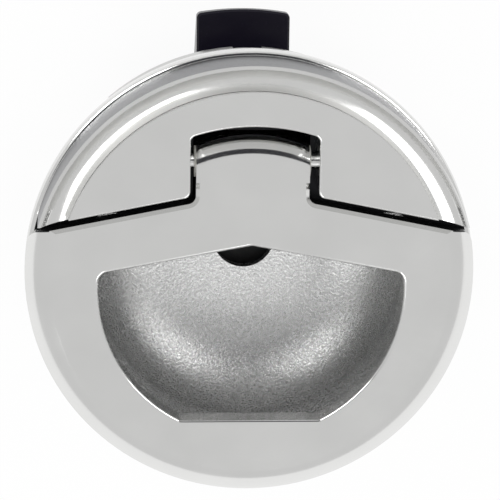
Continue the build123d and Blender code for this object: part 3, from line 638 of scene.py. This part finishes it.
def make_thread_tree():
    """Helical ridge on a barrel, which rises from the root at both ends."""
    group, into, out = new_geometry_tree("Barrel Thread", {
        "Root Radius": "NodeSocketFloat", "Pitch": "NodeSocketFloat", "Depth": "NodeSocketFloat",
        "Length": "NodeSocketFloat", "Low End": "NodeSocketFloat", "Steps": "NodeSocketInt",
        "Material": "NodeSocketMaterial"})
    turns = group.math("DIVIDE", into.outputs["Length"], into.outputs["Pitch"])
    spiral = group.node(
        "GeometryNodeCurveSpiral", None, Resolution=into.outputs["Steps"], Rotations=turns,
        Start_Radius=into.outputs["Root Radius"], End_Radius=into.outputs["Root Radius"],
        Height=into.outputs["Length"])
    upright = group.node("GeometryNodeSetCurveNormal", {"mode": "Z_UP"}, Curve=spiral.outputs[0])
    along = group.node("GeometryNodeSplineParameter").outputs["Factor"]
    fade = group.math("DIVIDE", 0.5, turns)
    rise = group.math("MINIMUM", along, group.math("SUBTRACT", 1.0, along))
    grown_share = group.math("DIVIDE", rise, fade, clamp=True)
    size = group.math("ADD", grown_share, THREAD_END_SIZE, clamp=True)
    grown = group.node("GeometryNodeSetCurveRadius", None, Curve=upright.outputs[0], Radius=size)
    overlap = group.math("MULTIPLY", into.outputs["Depth"], TOOTH_OVERLAP)
    tooth = group.math("ADD", into.outputs["Depth"], overlap)
    profile = group.node(
        "GeometryNodeCurvePrimitiveQuadrilateral", {"mode": "TRAPEZOID"},
        Bottom_Width=group.math("MULTIPLY", into.outputs["Pitch"], TOOTH_FOOT),
        Top_Width=group.math("MULTIPLY", into.outputs["Pitch"], TOOTH_CREST),
        Height=tooth, Offset=0.0)
    middle = group.math("SUBTRACT", group.math("MULTIPLY", tooth, 0.5), overlap)
    shift = group.node("ShaderNodeCombineXYZ", None, X=middle)
    turned = group.node(
        "GeometryNodeTransform", None, Geometry=profile.outputs[0], Translation=shift.outputs[0],
        Rotation=(0.0, 0.0, -pi / 2))
    ridge = group.node("GeometryNodeCurveToMesh", None, Curve=grown.outputs[0],
                       Profile_Curve=turned.outputs[0], Fill_Caps=True)
    lift = group.node("ShaderNodeCombineXYZ", None, Z=into.outputs["Low End"])
    placed = group.node(
        "GeometryNodeTransform", None, Geometry=ridge.outputs[0], Translation=lift.outputs[0])
    flat = group.node(
        "GeometryNodeSetShadeSmooth", None, Geometry=placed.outputs[0], Shade_Smooth=False)
    return end_geometry_tree(group, into, out, flat.outputs[0])


def path_curve(name, points):
    """A curve with one straight-sided spline through the points."""
    curve = bpy.data.curves.new(name, "CURVE")
    curve.dimensions = "3D"
    spline = curve.splines.new("POLY")
    spline.points.add(len(points) - 1)
    for point, place in zip(spline.points, points):
        point.co = (*place, 1.0)
    return curve


def grow(name, data, tree, inputs):
    """Runs a geometry tree on data and returns the result as a plain mesh object at the origin."""
    source = bpy.data.objects.new(name + "_path", data)
    bpy.context.scene.collection.objects.link(source)
    modifier = source.modifiers.new("Shape", "NODES")
    modifier.node_group = tree
    for item in tree.interface.items_tree:
        if item.in_out == "INPUT" and item.name in inputs:
            modifier[item.identifier] = inputs[item.name]
    bpy.context.view_layer.update()
    evaluated = source.evaluated_get(bpy.context.evaluated_depsgraph_get())
    mesh = bpy.data.meshes.new_from_object(evaluated)
    if not mesh.polygons:
        raise RuntimeError(f"{name} came out empty")
    source.modifiers.remove(modifier)
    bpy.data.objects.remove(source)
    shell = bmesh.new()
    shell.from_mesh(mesh)
    bmesh.ops.remove_doubles(shell, verts=shell.verts, dist=MM / 10000)
    bmesh.ops.recalc_face_normals(shell, faces=shell.faces)
    shell.to_mesh(mesh)
    shell.free()
    mesh.name = name
    piece = bpy.data.objects.new(name, mesh)
    bpy.context.scene.collection.objects.link(piece)
    return piece


def coil_points(middle, axis, side, up, radius, heights, turns):
    """Points of a coil. heights gives the place along the axis for a share from 0 to 1."""
    steps = int(COIL_STEPS * turns)
    points = []
    for step in range(steps + 1):
        share = step / steps
        angle = 2 * pi * turns * share
        out = side * (radius * cos(angle)) + up * (radius * sin(angle))
        points.append(middle + axis * heights(share) + out)
    return points


def welded_copy(node, name):
    """A copy of a CAD node with its corners joined and its shading kept."""
    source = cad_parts[node].data
    count = len(source.vertices)
    places = np.zeros(count * 3, np.float64)
    source.vertices.foreach_get("co", places)
    places = places.reshape(-1, 3)
    rounded = np.round(places / (MM / 1000)).astype(np.int64)
    _, first, joined = np.unique(rounded, axis=0, return_index=True, return_inverse=True)
    corners = np.zeros(len(source.loops), np.int32)
    source.loops.foreach_get("vertex_index", corners)
    triangles = joined.ravel()[corners].reshape(-1, 3)
    normals = np.array([corner.vector for corner in source.corner_normals]).reshape(-1, 3, 3)
    whole = (
        (triangles[:, 0] != triangles[:, 1]) & (triangles[:, 1] != triangles[:, 2])
        & (triangles[:, 2] != triangles[:, 0]))
    mesh = bpy.data.meshes.new(name)
    mesh.from_pydata(places[first].tolist(), [], triangles[whole].tolist(), shade_flat=False)
    mesh.normals_split_custom_set(normals[whole].reshape(-1, 3).tolist())
    piece = bpy.data.objects.new(name, mesh)
    bpy.context.scene.collection.objects.link(piece)
    return piece


# Operators, one for each group of pieces


class FLUSHCATCH_OT_finishes(bpy.types.Operator):
    """Makes the finishes and the geometry trees that the pieces use"""
    bl_idname = "flush_catch.finishes"
    bl_label = "Finishes"

    def execute(self, context):
        make_finishes(context.scene.catch_finishes)
        make_wire_tree()
        make_thread_tree()
        return {"FINISHED"}


class FLUSHCATCH_OT_bezel(bpy.types.Operator):
    """Finishes the bezel casting and cuts its barrel's thread"""
    bl_idname = "flush_catch.bezel"
    bl_label = "Bezel casting"

    def execute(self, context):
        size = context.scene.catch_thread
        casting = welded_copy("bezel_body", "bezel_casting")
        edge = 0.1 * MM
        for vertex in casting.data.vertices:
            out = Vector((vertex.co.x, vertex.co.y))
            on_barrel = BARREL_RADIUS - BARREL_RIM < out.length < BARREL_RADIUS + edge
            if vertex.co.z < edge and on_barrel:
                out *= (out.length - size.depth) / out.length
                vertex.co.x = out.x
                vertex.co.y = out.y
        casting.data.materials.append(bpy.data.materials["bezel_finish"])
        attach(casting, "root")
        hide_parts("bezel_body")
        length = -BEZEL_LOW.z - size.start - size.end
        thread_tree = bpy.data.node_groups["Barrel Thread"]
        thread = grow("barrel_thread", bpy.data.meshes.new("thread_seed"), thread_tree, {
            "Root Radius": BARREL_RADIUS - size.depth, "Pitch": size.pitch, "Depth": size.depth,
            "Length": length, "Low End": BEZEL_LOW.z + size.end, "Steps": size.steps,
            "Material": bpy.data.materials["turned_finish"]})
        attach(thread, "root")
        return {"FINISHED"}


class FLUSHCATCH_OT_handle(bpy.types.Operator):
    """Finishes the pull handle, its bushes and its pin"""
    bl_idname = "flush_catch.handle"
    bl_label = "Pull handle"

    def execute(self, context):
        dress("pull_handle", "handle_finish")
        dress("hinge_bush_left", "bush_finish")
        dress("hinge_bush_right", "bush_finish")
        dress("hinge_pin", "ground_finish")
        return {"FINISHED"}


class FLUSHCATCH_OT_handle_spring(bpy.types.Operator):
    """Winds the handle spring, whose rear leg follows the tongue"""
    bl_idname = "flush_catch.handle_spring"
    bl_label = "Handle spring"

    def execute(self, context):
        size = context.scene.catch_springs
        wire = size.handle_wire
        right = COIL_HIGH.x - wire
        length = right - COIL_LOW.x - wire
        radius = HINGE.z - COIL_LOW.z - wire
        middle = Vector((right, HINGE.y, HINGE.z))
        coil = coil_points(
            middle, Vector((-1, 0, 0)), Vector((0, 0, -1)), Vector((0, 1, 0)), radius,
            lambda share: share * length, size.handle_turns)
        front = Vector((right, COIL_LOW.y, HINGE.z - radius))
        rear = Vector((right - length, COIL_HIGH.y, HINGE.z - radius))
        path = path_curve("handle_spring_line", [front, *coil, rear])
        spring = grow("handle_spring_wire", path, bpy.data.node_groups["Wire Along Path"], {
            "Wire Radius": wire, "Sides": 14, "Material": bpy.data.materials["wire_finish"]})
        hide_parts("handle_spring")
        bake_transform(spring)
        return {"FINISHED"}


class FLUSHCATCH_OT_bolt(bpy.types.Operator):
    """Finishes the slam bolt and the release arm"""
    bl_idname = "flush_catch.bolt"
    bl_label = "Slam bolt and lever"

    def execute(self, context):
        dress("slam_bolt", "bolt_finish")
        dress("release_arm", "pressed_finish")
        return {"FINISHED"}


class FLUSHCATCH_OT_bolt_springs(bpy.types.Operator):
    """Winds the two bolt springs, with closed turns at their ends"""
    bl_idname = "flush_catch.bolt_springs"
    bl_label = "Bolt springs"

    def execute(self, context):
        size = context.scene.catch_springs
        wire = size.bolt_wire
        turns = size.bolt_turns + 2 * size.closed_turns
        end_share = size.closed_turns / turns
        end_rise = size.closed_turns * CLOSED_RISE * wire
        wire_tree = bpy.data.node_groups["Wire Along Path"]
        for name in ("bolt_spring_left", "bolt_spring_right"):
            low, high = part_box(name)
            length = high.y - low.y - 2 * wire

            def height(share, length=length):
                if share < end_share:
                    return end_rise * share / end_share
                if share > 1 - end_share:
                    return length - end_rise * (1 - share) / end_share
                open_share = (share - end_share) / (1 - 2 * end_share)
                return end_rise + (length - 2 * end_rise) * open_share

            middle = Vector(((low.x + high.x) / 2, low.y + wire, (low.z + high.z) / 2))
            radius = (high.x - low.x) / 2 - wire
            points = coil_points(
                middle, Vector((0, 1, 0)), Vector((1, 0, 0)), Vector((0, 0, 1)),
                radius, height, turns)
            spring = grow(name + "_wire", path_curve(name + "_line", points), wire_tree, {
                "Wire Radius": wire, "Sides": 12, "Material": bpy.data.materials["wire_finish"]})
            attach(spring, "root")
            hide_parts(name)
            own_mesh(spring)
        return {"FINISHED"}


class FLUSHCATCH_OT_housing(bpy.types.Operator):
    """Finishes the latch housing, its cover and the screws"""
    bl_idname = "flush_catch.housing"
    bl_label = "Latch housing"

    def execute(self, context):
        dress("latch_housing", "housing_finish")
        dress("housing_cover", "housing_finish")
        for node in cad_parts:
            if node.startswith("cover_screw"):
                dress(node, "screw_finish")
        return {"FINISHED"}


class FLUSHCATCH_OT_clamp(bpy.types.Operator):
    """Finishes the thrust washer, the ring nut and the rubber parts"""
    bl_idname = "flush_catch.clamp"
    bl_label = "Nut, washer and rubber"

    def execute(self, context):
        dress("thrust_washer", "turned_finish")
        dress("ring_nut", "turned_finish")
        for node in ("panel_gasket", "handle_bumper_left", "handle_bumper_right"):
            dress(node, "rubber_finish")
        return {"FINISHED"}


def direction_place(azimuth, elevation, distance):
    """Place at a distance from the origin. Azimuth 0 is towards -Y, and +90 is towards +X."""
    turn = radians(azimuth)
    lift = radians(elevation)
    return Vector((sin(turn) * cos(lift), -cos(turn) * cos(lift), sin(lift))) * distance


def soft_box(name, azimuth, elevation, width, height, power):
    """A rectangular lamp that faces the catch."""
    lamp = bpy.data.lights.new(name, "AREA")
    lamp.shape = "RECTANGLE"
    lamp.size = width
    lamp.size_y = height
    lamp.energy = power
    box = bpy.data.objects.new(name, lamp)
    bpy.context.scene.collection.objects.link(box)
    box.location = direction_place(azimuth, elevation, LAMP_DISTANCE)
    box.rotation_euler = (-box.location).to_track_quat("-Z", "Y").to_euler()


def dark_card(name, across, rearwards):
    """A dark patch of the tent, which the steel mirrors. Its edges are in degrees from above."""
    corners = []
    for rear in np.linspace(*rearwards, CARD_STEPS + 1):
        for side in np.linspace(*across, CARD_STEPS + 1):
            off = Vector((side, rear))
            azimuth = degrees(atan2(off.x, -off.y))
            corners.append(tuple(direction_place(azimuth, 90 - off.length, CARD_DISTANCE)))
    row = CARD_STEPS + 1
    starts = [step * row + side for step in range(CARD_STEPS) for side in range(CARD_STEPS)]
    mesh = bpy.data.meshes.new(name)
    mesh.from_pydata(corners, [], [(at, at + 1, at + row + 1, at + row) for at in starts])
    material = bpy.data.materials.new(name + "_dark")
    material.use_nodes = True
    shader = material.node_tree.nodes["Principled BSDF"]
    shader.inputs["Base Color"].default_value = (0.03, 0.03, 0.035, 1.0)
    shader.inputs["Roughness"].default_value = 0.9
    mesh.materials.append(material)
    card = bpy.data.objects.new(name, mesh)
    bpy.context.scene.collection.objects.link(card)
    card.visible_camera = False


class FLUSHCATCH_OT_stage(bpy.types.Operator):
    """Sets up the camera, the floor, the white tent and the lamps"""
    bl_idname = "flush_catch.stage"
    bl_label = "Stage"

    def execute(self, context):
        stage = context.scene.catch_stage
        self.add_camera(context, stage)
        self.add_floor(context, stage)
        self.add_light(context, stage)
        return {"FINISHED"}

    def add_camera(self, context, stage):
        lens = bpy.data.cameras.new("Camera")
        lens.lens = stage.lens
        lens.sensor_width = 36.0
        lens.clip_start = 0.01
        lens.clip_end = 20.0
        camera = bpy.data.objects.new("Camera", lens)
        context.scene.collection.objects.link(camera)
        back = Vector((tan(stage.turn), tan(stage.tilt), 1.0)).normalized()
        right = Vector((0, 1, 0)).cross(back).normalized()
        up = back.cross(right)
        turned_right = right * cos(stage.roll) + up * sin(stage.roll)
        turned_up = up * cos(stage.roll) - right * sin(stage.roll)
        pose = Matrix((turned_right, turned_up, back)).transposed().to_4x4()
        pose.translation = Vector((stage.aim[0], stage.aim[1], 0)) + back * stage.distance
        camera.matrix_world = pose
        context.scene.camera = camera

    def add_floor(self, context, stage):
        mesh = bpy.data.meshes.new("studio_floor")
        corners = [
            (x * FLOOR_HALF, y * FLOOR_HALF, FLOOR_HEIGHT)
            for x, y in ((-1, -1), (1, -1), (1, 1), (-1, 1))]
        mesh.from_pydata(corners, [], [(0, 1, 2, 3)])
        floor = bpy.data.objects.new("studio_floor", mesh)
        context.scene.collection.objects.link(floor)
        material = bpy.data.materials.new("floor_white")
        material.use_nodes = True
        material.node_tree.nodes.clear()
        tree = Tree(material.node_tree)
        output = tree.node("ShaderNodeOutputMaterial")
        paper = tree.node(
            "ShaderNodeBsdfPrincipled", None, Base_Color=opaque(stage.floor), Roughness=0.9)
        white = tree.node("ShaderNodeEmission", None, Color=(1.0, 1.0, 1.0, 1.0), Strength=1.0)
        path = tree.node("ShaderNodeLightPath")
        seen = tree.math("MAXIMUM", path.outputs["Is Camera Ray"], path.outputs["Is Glossy Ray"])
        seen = tree.math("MAXIMUM", seen, path.outputs["Is Transmission Ray"])
        shown = tree.node(
            "ShaderNodeMixShader", None, i0=tree.math("MULTIPLY", seen, FLOOR_WHITE),
            i1=paper.outputs[0], i2=white.outputs[0])
        clear = tree.node("ShaderNodeBsdfTransparent")
        below = tree.node("ShaderNodeNewGeometry").outputs["Backfacing"]
        one_sided = tree.node(
            "ShaderNodeMixShader", None, i0=below, i1=shown.outputs[0], i2=clear.outputs[0])
        tree.link(one_sided.outputs[0], output.inputs["Surface"])
        mesh.materials.append(material)

    def add_light(self, context, stage):
        world = bpy.data.worlds.new("studio_tent")
        context.scene.world = world
        world.use_nodes = True
        background = world.node_tree.nodes["Background"]
        background.inputs["Color"].default_value = (1.0, 1.0, 1.0, 1.0)
        background.inputs["Strength"].default_value = stage.tent
        soft_box("front_left_box", -38, 46, 0.55, 0.52, 1.9)
        soft_box("front_right_box", 33, 46, 0.42, 0.52, 1.45)
        soft_box("rear_left_box", -138, 33, 0.5, 0.26, 3.0)
        soft_box("rear_right_box", 130, 33, 0.5, 0.26, 2.3)
        dark_card("tent_opening", across=(-22, 22), rearwards=(16, 56))
        dark_card("side_shade", across=(-32, -15), rearwards=(1, 27))


class FLUSHCATCH_PT_panel(bpy.types.Panel):
    """Lists the catch's sizes, finishes and steps"""
    bl_idname = "FLUSHCATCH_PT_panel"
    bl_label = "Flush Catch"
    bl_space_type = "VIEW_3D"
    bl_region_type = "UI"
    bl_category = "Flush Catch"

    def draw(self, context):
        for group_name in PROPERTY_GROUPS:
            box = self.layout.box()
            settings = getattr(context.scene, group_name)
            for name in settings.bl_rna.properties.keys():
                if name not in ("rna_type", "name"):
                    box.prop(settings, name)
        for operator in OPERATORS:
            self.layout.operator(operator.bl_idname)


OPERATORS = (
    FLUSHCATCH_OT_finishes,
    FLUSHCATCH_OT_bezel,
    FLUSHCATCH_OT_handle,
    FLUSHCATCH_OT_handle_spring,
    FLUSHCATCH_OT_bolt,
    FLUSHCATCH_OT_bolt_springs,
    FLUSHCATCH_OT_housing,
    FLUSHCATCH_OT_clamp,
    FLUSHCATCH_OT_stage,
)


def register():
    for group_name, group in PROPERTY_GROUPS.items():
        bpy.utils.register_class(group)
        setattr(bpy.types.Scene, group_name, bpy.props.PointerProperty(type=group))
    for operator in OPERATORS:
        bpy.utils.register_class(operator)
    bpy.utils.register_class(FLUSHCATCH_PT_panel)


def unregister():
    bpy.utils.unregister_class(FLUSHCATCH_PT_panel)
    for operator in reversed(OPERATORS):
        bpy.utils.unregister_class(operator)
    for group_name, group in PROPERTY_GROUPS.items():
        delattr(bpy.types.Scene, group_name)
        bpy.utils.unregister_class(group)


def main():
    register()
    bpy.context.scene.view_settings.view_transform = "Standard"
    bpy.ops.flush_catch.finishes()
    bpy.ops.flush_catch.bezel()
    bpy.ops.flush_catch.handle()
    bpy.ops.flush_catch.handle_spring()
    bpy.ops.flush_catch.bolt()
    bpy.ops.flush_catch.bolt_springs()
    bpy.ops.flush_catch.housing()
    bpy.ops.flush_catch.clamp()
    bpy.ops.flush_catch.stage()


if __name__ == "__main__":
    main()
